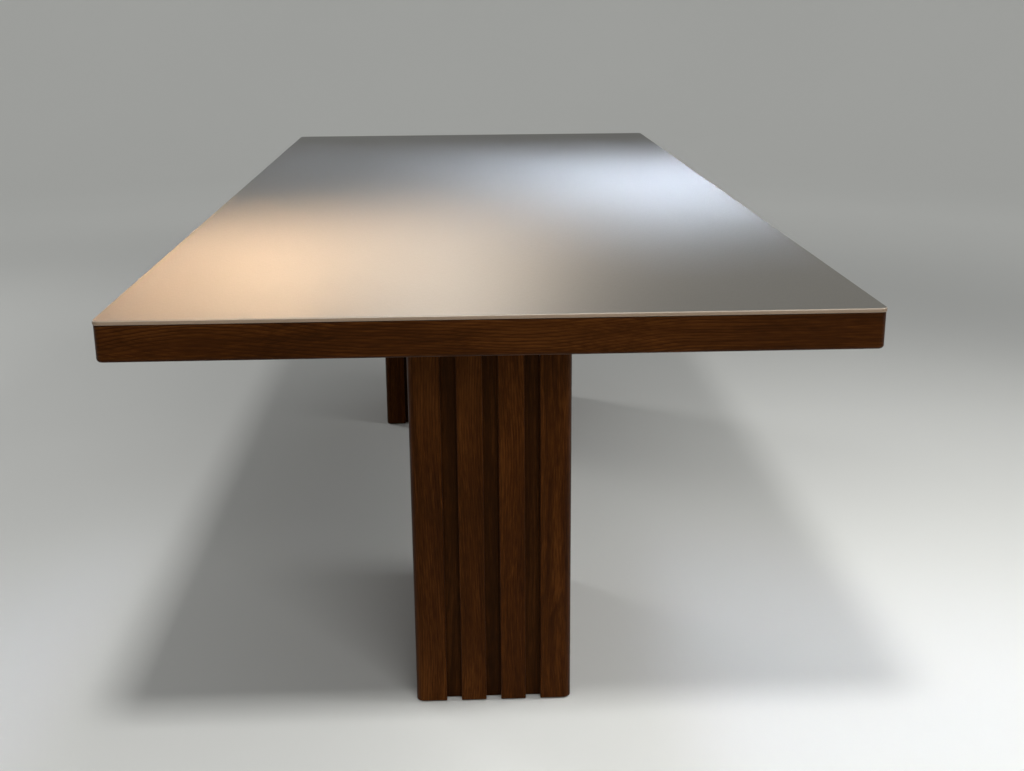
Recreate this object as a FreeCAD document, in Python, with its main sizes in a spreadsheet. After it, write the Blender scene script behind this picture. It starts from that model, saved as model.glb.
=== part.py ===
import FreeCAD, Part
import math
import os
import re
import Sketcher

# Dining table: a thin stone panel on a thick walnut slab, carried by two fluted walnut pillars.
# The near pillar stands with its narrow face to the near end, the far pillar is turned across.
# Lengths are in millimetres. The origin is on the floor below the middle of the table,
# X runs across the width, Y along the length from the near end to the far end, Z is up.

SIZES = {
    # Whole table
    "table_length": 2400,
    "table_width": 1050,
    "table_height": 750,
    "pillar_overhang": 310,
    # Stone panel
    "panel_thickness": 6,
    "panel_overhang": 1,
    "panel_corner_radius": 11,
    "panel_top_round": 2,
    "panel_bottom_round": 0.8,
    # Silicone beads between panel and slab
    "bead_thickness": 0.5,
    "bead_width": 14,
    "bead_setback": 4,
    "bead_end_gap": 20,
    # Walnut edge rails, mitred at the corners
    "rail_height": 50.5,
    "rail_width": 85,
    "rail_corner_radius": 10,
    "rail_top_round": 1,
    "rail_bottom_round": 5,
    "rebate_width": 15,
    "board_clearance": 0.2,
    "spline_length": 70,
    "spline_width": 36,
    "spline_thickness": 6,
    # Boards and ribs that close the slab
    "deck_thickness": 16,
    "soffit_thickness": 9,
    "rib_width": 30,
    "stiffener_clearance": 7.5,
    "stiffener_width": 40,
    "stiffener_wall": 2,
    "stiffener_end_gap": 40,
    # Pillars: corner posts, grooved-in boards and applied slats
    "pillar_width": 262,
    "pillar_length": 515,
    "post_width": 51.5,
    "post_corner_radius": 13,
    "slat_width": 42,
    "slat_round": 1.5,
    "slat_end_round": 1.5,
    "recess_depth": 14,
    "board_thickness": 18,
    "groove_depth": 10,
    "cap_thickness": 25,
    "cleat_width": 22,
    "cleat_end_gap": 10,
    # Steel head plates and their fasteners
    "plate_thickness": 5,
    "plate_margin": 45,
    "plate_corner_radius": 12,
    "bolt_radius": 4,
    "bolt_length": 25,
    "bolt_flange_radius": 8.75,
    "bolt_flange_thickness": 1.2,
    "bolt_head_radius": 7,
    "bolt_head_height": 4.4,
    "bolt_crown_radius": 4.5,
    "bolt_socket_width": 5,
    "bolt_socket_depth": 2.6,
    "bolt_clearance": 0.5,
    "insert_radius": 6,
    "insert_length": 18,
    "thread_clearance": 0.05,
    "cap_screw_radius": 3,
    "cap_screw_head_radius": 6,
    "cap_screw_head_height": 3,
    "cap_screw_length": 28,
    "cap_screw_inset": 38,
    # Countersunk wood screws in the slab, under the stiffeners and in the glides
    "screw_radius": 2,
    "screw_head_radius": 4,
    "screw_head_height": 2.2,
    "screw_slot_width": 1,
    "screw_slot_depth": 1.1,
    "deck_screw_length": 28,
    "soffit_screw_length": 20,
    "stiffener_screw_length": 14,
    "glide_screw_length": 18,
    "screw_corner_gap": 60,
    # Glides under the corner posts
    "glide_radius": 15,
    "glide_thickness": 5,
    "glide_projection": 2,
    "glide_edge_chamfer": 0.8,
    "glide_screw_sink": 0.6,
    "glide_clearance": 0.25,
    "glide_inset": 21,
    # Every through cut runs this far past the faces it opens
    "cut_overrun": 1,
}

BEADS_ACROSS = 7
LONG_SCREWS = 8
SHORT_SCREWS = 4
STIFFENER_SCREWS = 5
BOLTS_ALONG = 3
CAP_SCREWS_ALONG = 3
MIDDLE_RIBS = 3
NARROW_SLATS = 2
WIDE_SLATS = 6

# Points nearer together than this are taken as one
SAME_POINT = 1e-6

# Heights above the floor
PANEL_BASE = "(table_height - panel_thickness)"
RAIL_TOP = f"({PANEL_BASE} - bead_thickness)"
RAIL_BASE = f"({RAIL_TOP} - rail_height)"
DECK_BASE = f"({RAIL_TOP} - deck_thickness)"
CORE_BASE = f"({RAIL_BASE} + soffit_thickness)"
CORE_HEIGHT = "(rail_height - deck_thickness - soffit_thickness)"
PLATE_BASE = f"({RAIL_BASE} - plate_thickness)"
PILLAR_BASE = "glide_projection"
PILLAR_HEIGHT = f"({PLATE_BASE} - glide_projection)"

# Half sizes in plan
HALF_WIDTH = "(table_width / 2)"
HALF_LENGTH = "(table_length / 2)"
SLAB_HALF_WIDTH = f"({HALF_WIDTH} - panel_overhang)"
SLAB_HALF_LENGTH = f"({HALF_LENGTH} - panel_overhang)"
CORE_HALF_WIDTH = f"({SLAB_HALF_WIDTH} - rail_width)"
CORE_HALF_LENGTH = f"({SLAB_HALF_LENGTH} - rail_width)"
PILLAR_HALF_WIDTH = "(pillar_width / 2)"
PILLAR_HALF_LENGTH = "(pillar_length / 2)"
SKIN_DEPTH = "(recess_depth + board_thickness)"
NEAR_CENTRE = f"(pillar_overhang + {PILLAR_HALF_LENGTH} - {HALF_LENGTH})"
FAR_CENTRE = f"({HALF_LENGTH} - pillar_overhang - {PILLAR_HALF_WIDTH})"

BLOCK_HALF_WIDTH = f"({PILLAR_HALF_WIDTH} + plate_margin)"
BLOCK_HALF_LENGTH = f"({PILLAR_HALF_LENGTH} + plate_margin)"
# The stiffeners run past the longer side of a mounting block, which lies across under the far end
STIFFENER_PLACE = f"({BLOCK_HALF_LENGTH} + stiffener_clearance + stiffener_width / 2)"

# Each pillar has a turn about Z, a centre along the table and the names of its four faces,
# which start at the low narrow face of its own axes and go round anticlockwise.
PILLARS = {
    "near": (0, NEAR_CENTRE, ("front", "right", "back", "left")),
    "far": (90, FAR_CENTRE, ("right", "back", "left", "front")),
}

document = FreeCAD.newDocument("dining_table")
sheet = document.addObject("Spreadsheet::Sheet", "Sizes")
for row, (alias, value) in enumerate(SIZES.items(), start=1):
    sheet.set(f"A{row}", str(value))
    sheet.setAlias(f"A{row}", alias)
document.recompute()

parts = []


def formula(text):
    """Point every alias in a formula at the spreadsheet."""
    return re.sub(r"[a-z_]+", lambda word: f"Sizes.{word[0]}" if word[0] in SIZES else word[0], text)


def bind(item, prop, text):
    item.setExpression(prop, formula(text))


def keep(item, label):
    """Name an object as one piece of the table."""
    item.Label = label
    parts.append(item)
    return item


def place(item, x, y, z, turn=0):
    item.Placement = FreeCAD.Placement(FreeCAD.Vector(), FreeCAD.Rotation(FreeCAD.Vector(0, 0, 1), turn))
    for axis, text in zip("xyz", (x, y, z)):
        bind(item, f"Placement.Base.{axis}", text)


def place_in_pillar(item, pillar, x="0", y="0", z="0", face_turn=0):
    """Place an object by its position in a pillar's own axes, X across it and Y along it."""
    turn, centre, _ = PILLARS[pillar]
    if turn:
        place(item, f"0 - ({y})", f"{centre} + {x}", z, turn + face_turn)
    else:
        place(item, x, f"{centre} + {y}", z, face_turn)


def rectangle(low_x, low_y, high_x, high_y):
    return [(low_x, low_y), (high_x, low_y), (high_x, high_y), (low_x, high_y)]


def centred(half_x, half_y):
    return rectangle(f"0 - ({half_x})", f"0 - ({half_y})", half_x, half_y)


def hexagon(width):
    """Corners of a regular hexagon of the given width across its flats."""
    reach = f"{width} / sqrt(3)"
    return [
        (reach, "0"),
        (f"{reach} / 2", f"{width} / 2"),
        (f"0 - {reach} / 2", f"{width} / 2"),
        (f"0 - {reach}", "0"),
        (f"0 - {reach} / 2", f"0 - {width} / 2"),
        (f"{reach} / 2", f"0 - {width} / 2"),
    ]


def origin_plane(body, role):
    return next(feature for feature in body.Origin.OriginFeatures if feature.Role == role)


def sketch_loops(body, role, loops, offset="0"):
    """Sketch closed polygons on an origin plane, each corner bound to its own pair of formulas."""
    sketch = body.newObject("Sketcher::SketchObject", f"{body.Name}_sketch")
    sketch.AttachmentSupport = [(origin_plane(body, role), "")]
    sketch.MapMode = "FlatFace"
    bind(sketch, "AttachmentOffset.Base.z", offset)
    for corners in loops:
        first = sketch.GeometryCount
        count = len(corners)
        # The polygon starts as a regular one, and its constraints then pull each corner into place.
        angles = [2 * math.pi * index / count for index in range(count)]
        start = [FreeCAD.Vector(math.cos(angle), math.sin(angle), 0) for angle in angles]
        for index in range(count):
            sketch.addGeometry(Part.LineSegment(start[index], start[(index + 1) % count]), False)
        for index in range(count):
            following = first + (index + 1) % count
            sketch.addConstraint(Sketcher.Constraint("Coincident", first + index, 2, following, 1))
        for index, (across, along) in enumerate(corners):
            for kind, text, value in (
                ("DistanceX", across, start[index].x),
                ("DistanceY", along, start[index].y),
            ):
                number = sketch.addConstraint(Sketcher.Constraint(kind, -1, 1, first + index, 1, value))
                bind(sketch, f"Constraints[{number}]", text)
    return sketch


def new_body(name):
    return document.addObject("PartDesign::Body", name)


def finish(body, feature):
    """Make a feature the body's last one and work it out."""
    body.Tip = feature
    document.recompute([feature])
    return feature


def pad(body, corners, base, height):
    """Add an upright prism whose foot is at the height base."""
    feature = body.newObject("PartDesign::Pad", f"{body.Name}_pad")
    feature.Profile = sketch_loops(body, "XY_Plane", [corners], base)
    bind(feature, "Length", height)
    return finish(body, feature)


def prism(name, corners, base, height):
    body = new_body(name)
    pad(body, corners, base, height)
    return body


def pocket(body, corners, top, depth):
    """Cut an upright prism down from the height top, and make sure that it removes something."""
    before = body.Tip.Shape.Volume
    feature = body.newObject("PartDesign::Pocket", f"{body.Name}_pocket")
    feature.Profile = sketch_loops(body, "XY_Plane", [corners], top)
    bind(feature, "Length", depth)
    finish(body, feature)
    if not feature.Shape.Volume < before:
        raise RuntimeError(f"{feature.Name} cuts nothing")
    return feature


def turned(name, profile):
    """Turn a profile of radius and height pairs about the body's own Z axis."""
    body = new_body(name)
    feature = body.newObject("PartDesign::Revolution", f"{name}_turn")
    feature.Profile = sketch_loops(body, "XZ_Plane", [profile])
    feature.ReferenceAxis = (feature.Profile[0], ["V_Axis"])
    feature.Angle = 360
    finish(body, feature)
    return body


def soften(body, radius, chosen):
    """Round the edges of the body's last feature that a test picks."""
    base = body.Tip
    names = [f"Edge{index}" for index, edge in enumerate(base.Shape.Edges, start=1) if chosen(edge)]
    feature = body.newObject("PartDesign::Fillet", f"{body.Name}_round")
    feature.Base = (base, names)
    bind(feature, "Radius", radius)
    return finish(body, feature)


def repeat(body, across=None, along=None):
    """Repeat the whole body in rows. Each direction is a full span and a count."""
    pattern = body.newObject("PartDesign::LinearPattern", f"{body.Name}_rows")
    pattern.TransformMode = "Whole shape"
    if across is None:
        across, along = along, None
        role, reverse = "XZ_Plane", True
    else:
        role, reverse = "YZ_Plane", False
    pattern.Direction = (origin_plane(body, role), [""])
    pattern.Reversed = reverse
    bind(pattern, "Length", across[0])
    pattern.Occurrences = across[1]
    if along is not None:
        pattern.Direction2 = (origin_plane(body, "XZ_Plane"), [""])
        pattern.Reversed2 = True
        bind(pattern, "Length2", along[0])
        pattern.Occurrences2 = along[1]
    return finish(body, pattern)


def group(name, members):
    compound = document.addObject("Part::Compound", name)
    compound.Links = members
    return compound


def cut(name, base, tools):
    """Cut a group of tools out of a base."""
    result = document.addObject("Part::Cut", name)
    result.Base = base
    result.Tool = tools[0] if len(tools) == 1 else group(f"{name}_tools", tools)
    return result


def upright(edge):
    first, last = edge.Vertexes[0].Point, edge.Vertexes[-1].Point
    return abs(last.z - first.z) > SAME_POINT


def at_height(body, top):
    """Pick the level edges of a body's highest or lowest face."""
    box = body.Tip.Shape.BoundBox
    height = box.ZMax if top else box.ZMin
    return lambda edge: not upright(edge) and abs(edge.CenterOfMass.z - height) < SAME_POINT


def upright_at(*places):
    """Pick the upright edges that stand at one of the given places in plan."""

    def chosen(edge):
        spot = edge.CenterOfMass
        return upright(edge) and any(math.hypot(spot.x - x, spot.y - y) < SAME_POINT for x, y in places)

    return chosen


def cross(width, length):
    """Outline of a cross recess with two equal bars."""
    thin, far = f"{width} / 2", f"{length} / 2"
    quarter = [(far, f"0 - {thin}"), (far, thin), (thin, thin)]
    outline = []
    for _ in range(4):
        outline += quarter
        quarter = [(f"0 - ({y})", x) for x, y in quarter]
    return outline


def countersunk(name, kind, length, points_up, recess=False):
    """Make a countersunk screw of one kind with the middle of its head's face at the origin."""
    sign = "" if points_up else "0 - "
    profile = [
        ("0", "0"),
        (f"{kind}_head_radius", "0"),
        (f"{kind}_radius", f"{sign}{kind}_head_height"),
        (f"{kind}_radius", f"{sign}({length} - {kind}_radius)"),
        ("0", f"{sign}{length}"),
    ]
    body = turned(name, profile)
    if recess:
        top = "screw_slot_depth" if points_up else "0"
        pocket(body, cross("screw_slot_width", f"{kind}_head_radius"), top, "screw_slot_depth")
    return body


def perimeter_screws(name, height, length, points_up, recess=False):
    """Rows of screws through a board into the rebates of all four rails."""
    row = "(rebate_width / 2)"
    long_rows = countersunk(f"{name}_long_rows", "screw", length, points_up, recess)
    across = f"({CORE_HALF_WIDTH} + {row})"
    along = f"({CORE_HALF_LENGTH} - screw_corner_gap)"
    repeat(long_rows, (f"2 * {across}", 2), (f"2 * {along}", LONG_SCREWS))
    place(long_rows, f"0 - {across}", f"0 - {along}", height)
    short_rows = countersunk(f"{name}_short_rows", "screw", length, points_up, recess)
    across = f"({CORE_HALF_WIDTH} - screw_corner_gap)"
    along = f"({CORE_HALF_LENGTH} + {row})"
    repeat(short_rows, (f"2 * {across}", SHORT_SCREWS), (f"2 * {along}", 2))
    place(short_rows, f"0 - {across}", f"0 - {along}", height)
    return group(name, [long_rows, short_rows])


def stiffener_screws(name, recess=False):
    """Two rows of screws up through the soffit into the lower walls of the stiffeners."""
    body = countersunk(name, "screw", "stiffener_screw_length", True, recess)
    along = f"({CORE_HALF_LENGTH} - stiffener_end_gap - screw_corner_gap)"
    repeat(body, (f"2 * {STIFFENER_PLACE}", 2), (f"2 * {along}", STIFFENER_SCREWS))
    place(body, f"0 - {STIFFENER_PLACE}", f"0 - {along}", RAIL_BASE)
    return body


def bolt_rows(body, pillar, height):
    """Repeat a fastener under both long edges of a pillar's head plate."""
    repeat(body, ("pillar_width + plate_margin", 2), ("pillar_length", BOLTS_ALONG))
    across = "0 - (pillar_width + plate_margin) / 2"
    place_in_pillar(body, pillar, across, f"0 - {PILLAR_HALF_LENGTH}", height)
    return body


def cap_screws(name, pillar):
    """Screws down through a head plate into the pillar's head board."""
    body = countersunk(name, "cap_screw", "cap_screw_length", False)
    across = f"({PILLAR_HALF_WIDTH} - {SKIN_DEPTH} - cap_screw_inset)"
    along = f"({PILLAR_HALF_LENGTH} - {SKIN_DEPTH} - cap_screw_inset)"
    repeat(body, (f"2 * {across}", 2), (f"2 * {along}", CAP_SCREWS_ALONG))
    place_in_pillar(body, pillar, f"0 - {across}", f"0 - {along}", RAIL_BASE)
    return body


def glide_rows(body, pillar, height="0"):
    """Repeat a piece under the four corner posts of a pillar."""
    repeat(body, ("pillar_width - 2 * glide_inset", 2), ("pillar_length - 2 * glide_inset", 2))
    across = f"glide_inset - {PILLAR_HALF_WIDTH}"
    place_in_pillar(body, pillar, across, f"glide_inset - {PILLAR_HALF_LENGTH}", height)
    return body


def make_top_panel():
    body = prism("panel", centred(HALF_WIDTH, HALF_LENGTH), PANEL_BASE, "panel_thickness")
    soften(body, "panel_corner_radius", upright)
    soften(body, "panel_top_round", at_height(body, top=True))
    soften(body, "panel_bottom_round", at_height(body, top=False))
    keep(body, "top_panel")


def make_panel_beads():
    """Beads of silicone that bed the panel: two across the ends and a row lengthwise."""
    across = f"({SLAB_HALF_WIDTH} - bead_setback)"
    along = f"({SLAB_HALF_LENGTH} - bead_setback)"
    end = rectangle(f"0 - {across}", f"0 - {along}", across, f"bead_width - {along}")
    ends = prism("bead_ends", end, RAIL_TOP, "bead_thickness")
    repeat(ends, along=(f"2 * {along} - bead_width", 2))
    reach = f"({along} - bead_width - bead_end_gap)"
    strip = rectangle(f"0 - {across}", f"0 - {reach}", f"bead_width - {across}", reach)
    strips = prism("bead_strips", strip, RAIL_TOP, "bead_thickness")
    repeat(strips, across=(f"2 * {across} - bead_width", BEADS_ACROSS))
    keep(group("beads", [ends, strips]), "panel_beads")


def make_splines():
    """Loose tongues that cross the four mitres."""
    tongue = centred("spline_length / 2", "spline_width / 2")
    height = f"{CORE_BASE} + ({CORE_HEIGHT} - spline_thickness) / 2"
    tongues = []
    for side_x, side_y in ((1, 1), (1, -1), (-1, 1), (-1, -1)):
        body = prism("spline", tongue, height, "spline_thickness")
        x = f"{side_x} * ({SLAB_HALF_WIDTH} - rail_width / 2)"
        y = f"{side_y} * ({SLAB_HALF_LENGTH} - rail_width / 2)"
        place(body, x, y, "0", 45 * side_x * side_y)
        tongues.append(body)
    return keep(group("splines", tongues), "mitre_splines")


def make_rails(splines, bores):
    """Four walnut rails: a rebated ring with round corners, parted along its mitres."""
    ring = prism("rail_ring", centred(SLAB_HALF_WIDTH, SLAB_HALF_LENGTH), RAIL_BASE, "rail_height")
    soften(ring, "rail_corner_radius", upright)
    soften(ring, "rail_bottom_round", at_height(ring, top=False))
    soften(ring, "rail_top_round", at_height(ring, top=True))
    opening = centred(CORE_HALF_WIDTH, CORE_HALF_LENGTH)
    rebate = centred(f"{CORE_HALF_WIDTH} + rebate_width", f"{CORE_HALF_LENGTH} + rebate_width")
    pocket(ring, opening, RAIL_TOP, "rail_height")
    pocket(ring, rebate, RAIL_TOP, "deck_thickness")
    pocket(ring, rebate, CORE_BASE, "soffit_thickness")
    drilled = cut("drilled_ring", ring, [splines, *bores])

    spine = f"({SLAB_HALF_LENGTH} - {SLAB_HALF_WIDTH})"
    corners = centred(f"({SLAB_HALF_WIDTH} + cut_overrun)", f"({SLAB_HALF_LENGTH} + cut_overrun)")
    low, high = ("0", f"0 - {spine}"), ("0", spine)
    foot = f"{RAIL_BASE} - cut_overrun"
    quarters = {
        "near": [corners[0], corners[1], low],
        "right": [corners[1], corners[2], high, low],
        "far": [corners[2], corners[3], high],
        "left": [corners[3], corners[0], low, high],
    }
    for side, outline in quarters.items():
        rail = document.addObject("Part::Common", f"rail_{side}")
        rail.Base = drilled
        rail.Tool = prism(f"quarter_{side}", outline, foot, "rail_height + 2 * cut_overrun")
        keep(rail, f"edge_rail_{side}")


def make_slab_boards(deck_bores, soffit_bores):
    half_width = f"({CORE_HALF_WIDTH} + rebate_width - board_clearance)"
    half_length = f"({CORE_HALF_LENGTH} + rebate_width - board_clearance)"
    outline = centred(half_width, half_length)
    deck = prism("deck_blank", outline, DECK_BASE, "deck_thickness")
    keep(cut("deck", deck, deck_bores), "top_deck")
    soffit = prism("soffit_blank", outline, RAIL_BASE, "soffit_thickness")
    keep(cut("soffit", soffit, soffit_bores), "soffit_board")


def make_ribs():
    """Ribs between deck and soffit, on both sides of the stiffeners and clear of the blocks."""
    near_edge = f"({NEAR_CENTRE} + {BLOCK_HALF_LENGTH})"
    far_edge = f"({FAR_CENTRE} - {BLOCK_HALF_WIDTH})"
    step = f"({far_edge} - {near_edge}) / {MIDDLE_RIBS + 1}"
    places = [f"({near_edge} + {step} * {number})" for number in range(1, MIDDLE_RIBS + 1)]
    places.append(f"(({NEAR_CENTRE} - {BLOCK_HALF_LENGTH} - {CORE_HALF_LENGTH}) / 2)")
    places.append(f"(({FAR_CENTRE} + {BLOCK_HALF_WIDTH} + {CORE_HALF_LENGTH}) / 2)")
    inner = f"({STIFFENER_PLACE} - stiffener_width / 2)"
    outer = f"({STIFFENER_PLACE} + stiffener_width / 2)"
    spans = (
        (f"0 - {inner}", inner),
        (outer, CORE_HALF_WIDTH),
        (f"0 - {CORE_HALF_WIDTH}", f"0 - {outer}"),
    )
    ribs = []
    for middle in places:
        for low, high in spans:
            outline = rectangle(low, f"{middle} - rib_width / 2", high, f"{middle} + rib_width / 2")
            ribs.append(prism("rib", outline, CORE_BASE, CORE_HEIGHT))
    keep(group("ribs", ribs), "slab_ribs")


def make_stiffeners(bores):
    """Two steel tubes that run the length of the slab."""
    half = "stiffener_width / 2"
    outer = rectangle(f"0 - {half}", "0", half, CORE_HEIGHT)
    inner_half = f"{half} - stiffener_wall"
    inner = rectangle(f"0 - ({inner_half})", "stiffener_wall", inner_half, f"{CORE_HEIGHT} - stiffener_wall")
    for side, sign in (("left", "0 - "), ("right", "")):
        body = new_body(f"tube_{side}")
        tube = body.newObject("PartDesign::Pad", f"tube_{side}_pad")
        tube.Profile = sketch_loops(body, "XZ_Plane", [outer, inner])
        tube.SideType = "Symmetric"
        bind(tube, "Length", f"2 * ({CORE_HALF_LENGTH} - stiffener_end_gap)")
        body.Tip = tube
        place(body, f"{sign}{STIFFENER_PLACE}", "0", CORE_BASE)
        keep(cut(f"stiffener_{side}_drilled", body, [bores]), f"stiffener_{side}")


def make_head(pillar):
    """The joint between a pillar and the slab: block, inserts, bolts, plate, screws and head board."""
    footprint = centred(BLOCK_HALF_WIDTH, BLOCK_HALF_LENGTH)

    insert_hole = [("0", "0"), ("insert_radius", "0"), ("insert_radius", "insert_length"), ("0", "insert_length")]
    insert_bores = bolt_rows(turned(f"{pillar}_insert_bores", insert_hole), pillar, CORE_BASE)
    block = prism(f"{pillar}_block_blank", footprint, CORE_BASE, CORE_HEIGHT)
    place_in_pillar(block, pillar)
    keep(cut(f"{pillar}_block", block, [insert_bores]), f"{pillar}_mount_block")

    bore = "bolt_radius + thread_clearance"
    sleeve = [(bore, "0"), ("insert_radius", "0"), ("insert_radius", "insert_length"), (bore, "insert_length")]
    keep(bolt_rows(turned(f"{pillar}_sleeves", sleeve), pillar, CORE_BASE), f"{pillar}_inserts")

    profile = [
        ("0", "0 - bolt_head_height"),
        ("bolt_crown_radius", "0 - bolt_head_height"),
        ("bolt_head_radius", "0 - bolt_flange_thickness"),
        ("bolt_flange_radius", "0 - bolt_flange_thickness"),
        ("bolt_flange_radius", "0"),
        ("bolt_radius", "0"),
        ("bolt_radius", "bolt_length"),
        ("0", "bolt_length"),
    ]
    bolt = turned(f"{pillar}_bolt", profile)
    pocket(bolt, hexagon("bolt_socket_width"), "bolt_socket_depth - bolt_head_height", "bolt_socket_depth")
    keep(bolt_rows(bolt, pillar, PLATE_BASE), f"{pillar}_bolts")

    wide = "bolt_radius + bolt_clearance"
    reach = "plate_thickness + soffit_thickness + cut_overrun"
    through = [("0", "0 - cut_overrun"), (wide, "0 - cut_overrun"), (wide, reach), ("0", reach)]
    bolt_bores = bolt_rows(turned(f"{pillar}_bolt_bores", through), pillar, PLATE_BASE)
    screws = keep(cap_screws(f"{pillar}_cap_rows", pillar), f"{pillar}_cap_screws")

    plate = prism(f"{pillar}_plate_blank", footprint, PLATE_BASE, "plate_thickness")
    soften(plate, "plate_corner_radius", upright)
    place_in_pillar(plate, pillar)
    keep(cut(f"{pillar}_plate", plate, [bolt_bores, screws]), f"{pillar}_head_plate")

    board = notched_board(f"{pillar}_head_blank", pillar, f"{PLATE_BASE} - cap_thickness")
    keep(cut(f"{pillar}_head", board, [screws]), f"{pillar}_head_board")
    return bolt_bores


def notched_board(name, pillar, base):
    """A board that fills the pillar's hollow, notched round the four corner posts."""
    notch = f"(post_width - {SKIN_DEPTH} + board_clearance)"
    wide = f"({PILLAR_HALF_WIDTH} - {SKIN_DEPTH})"
    deep = f"({PILLAR_HALF_LENGTH} - {SKIN_DEPTH})"
    narrow, shallow = f"({wide} - {notch})", f"({deep} - {notch})"
    corner = [(wide, shallow), (narrow, shallow), (narrow, deep)]
    outline = []
    for side_x, side_y in ((1, 1), (-1, 1), (-1, -1), (1, -1)):
        points = corner if side_x == side_y else corner[::-1]
        outline += [(f"{side_x} * {x}", f"{side_y} * {y}") for x, y in points]
    body = prism(name, outline, base, "cap_thickness")
    place_in_pillar(body, pillar)
    return body


def make_cleats(pillar):
    """Strips that fix the head and foot boards to the four walls of the hollow."""
    strips = []
    for base in (f"{PLATE_BASE} - cap_thickness - cleat_width", f"{PILLAR_BASE} + cap_thickness"):
        for face_turn, depth, length in (
            (0, PILLAR_HALF_LENGTH, "pillar_width"),
            (90, PILLAR_HALF_WIDTH, "pillar_length"),
            (180, PILLAR_HALF_LENGTH, "pillar_width"),
            (270, PILLAR_HALF_WIDTH, "pillar_length"),
        ):
            reach = f"({length} / 2 - post_width - cleat_end_gap)"
            wall = f"{SKIN_DEPTH} - {depth}"
            strip = prism("cleat", rectangle(f"0 - {reach}", wall, reach, f"{wall} + cleat_width"), base, "cleat_width")
            place_in_pillar(strip, pillar, face_turn=face_turn)
            strips.append(strip)
    keep(group(f"{pillar}_cleat_set", strips), f"{pillar}_cleats")


def make_post(name, pillar, face_turn, depth, length, glide_bores):
    """A grooved corner post at the low end of a face."""
    side, front = f"(0 - {length} / 2)", f"(0 - {depth})"
    post = prism(name, rectangle(side, front, f"{side} + post_width", f"{front} + post_width"), PILLAR_BASE, PILLAR_HEIGHT)
    box = post.Tip.Shape.BoundBox
    soften(post, "post_corner_radius", upright_at((box.XMin, box.YMin)))
    soften(post, "slat_round", upright_at((box.XMax, box.YMin), (box.XMin, box.YMax)))
    soften(post, "slat_end_round", at_height(post, top=False))
    slot_low, slot_high = "recess_depth - board_clearance", f"{SKIN_DEPTH} + board_clearance"
    inner = "post_width - groove_depth"
    top = f"{PILLAR_BASE} + {PILLAR_HEIGHT}"
    for low_x, low_y, high_x, high_y in (
        (inner, slot_low, "post_width", slot_high),
        (slot_low, inner, slot_high, "post_width"),
    ):
        slot = rectangle(f"{side} + {low_x}", f"{front} + {low_y}", f"{side} + {high_x}", f"{front} + {high_y}")
        pocket(post, slot, top, PILLAR_HEIGHT)
    place_in_pillar(post, pillar, face_turn=face_turn)
    return cut(f"{name}_drilled", post, [glide_bores])


def make_slats(name, pillar, face_turn, depth, length, count):
    """Evenly spaced slats between the two posts of a face, flush with the posts' faces."""
    clear = f"({length} - 2 * post_width)"
    gap = f"(({clear} - {count} * slat_width) / {count + 1})"
    low = f"({gap} - {clear} / 2)"
    outline = rectangle(low, f"0 - {depth}", f"{low} + slat_width", f"recess_depth - {depth}")
    slats = prism(name, outline, PILLAR_BASE, PILLAR_HEIGHT)
    box = slats.Tip.Shape.BoundBox
    soften(slats, "slat_round", upright_at((box.XMin, box.YMin), (box.XMax, box.YMin)))
    soften(slats, "slat_end_round", at_height(slats, top=False))
    repeat(slats, across=(f"{clear} - 2 * {gap} - slat_width", count))
    place_in_pillar(slats, pillar, face_turn=face_turn)
    return slats


def make_wall(name, pillar, face_turn, depth, length):
    """The board behind a face's slats, held in the grooves of its two posts."""
    reach = f"({length} / 2 - post_width + groove_depth - board_clearance)"
    wall = rectangle(f"0 - {reach}", f"recess_depth - {depth}", reach, f"{SKIN_DEPTH} - {depth}")
    board = prism(name, wall, PILLAR_BASE, PILLAR_HEIGHT)
    place_in_pillar(board, pillar, face_turn=face_turn)
    return board


def make_glides(pillar):
    profile = [
        ("screw_head_radius", "0"),
        ("glide_radius - glide_edge_chamfer", "0"),
        ("glide_radius", "glide_edge_chamfer"),
        ("glide_radius", "glide_thickness"),
        ("screw_radius", "glide_thickness"),
        ("screw_radius", "glide_screw_sink + screw_head_height"),
        ("screw_head_radius", "glide_screw_sink"),
    ]
    keep(glide_rows(turned(f"{pillar}_glide", profile), pillar), f"{pillar}_glides")
    screw = countersunk(f"{pillar}_glide_screw", "screw", "glide_screw_length", True, recess=True)
    keep(glide_rows(screw, pillar, "glide_screw_sink"), f"{pillar}_glide_screws")
    tip = "glide_screw_sink + glide_screw_length"
    hole = [
        ("0", "0"),
        ("glide_radius + glide_clearance", "0"),
        ("glide_radius + glide_clearance", "glide_thickness"),
        ("screw_radius", "glide_thickness"),
        ("screw_radius", tip),
        ("0", tip),
    ]
    return glide_rows(turned(f"{pillar}_glide_bores", hole), pillar)


def make_pillar(pillar):
    glide_bores = make_glides(pillar)
    faces = PILLARS[pillar][2]
    for index, face in enumerate(faces):
        if index % 2:
            depth, length, count = PILLAR_HALF_WIDTH, "pillar_length", WIDE_SLATS
        else:
            depth, length, count = PILLAR_HALF_LENGTH, "pillar_width", NARROW_SLATS
        face_turn = 90 * index
        corner = "_".join(sorted((face, faces[index - 1])))
        post = make_post(f"{pillar}_corner_{corner}", pillar, face_turn, depth, length, glide_bores)
        keep(post, f"{pillar}_post_{corner}")
        keep(make_wall(f"{pillar}_wall_{face}", pillar, face_turn, depth, length), f"{pillar}_board_{face}")
        slats = make_slats(f"{pillar}_face_{face}", pillar, face_turn, depth, length, count)
        keep(slats, f"{pillar}_slats_{face}")
    keep(notched_board(f"{pillar}_foot", pillar, PILLAR_BASE), f"{pillar}_foot_board")
    make_cleats(pillar)


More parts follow.
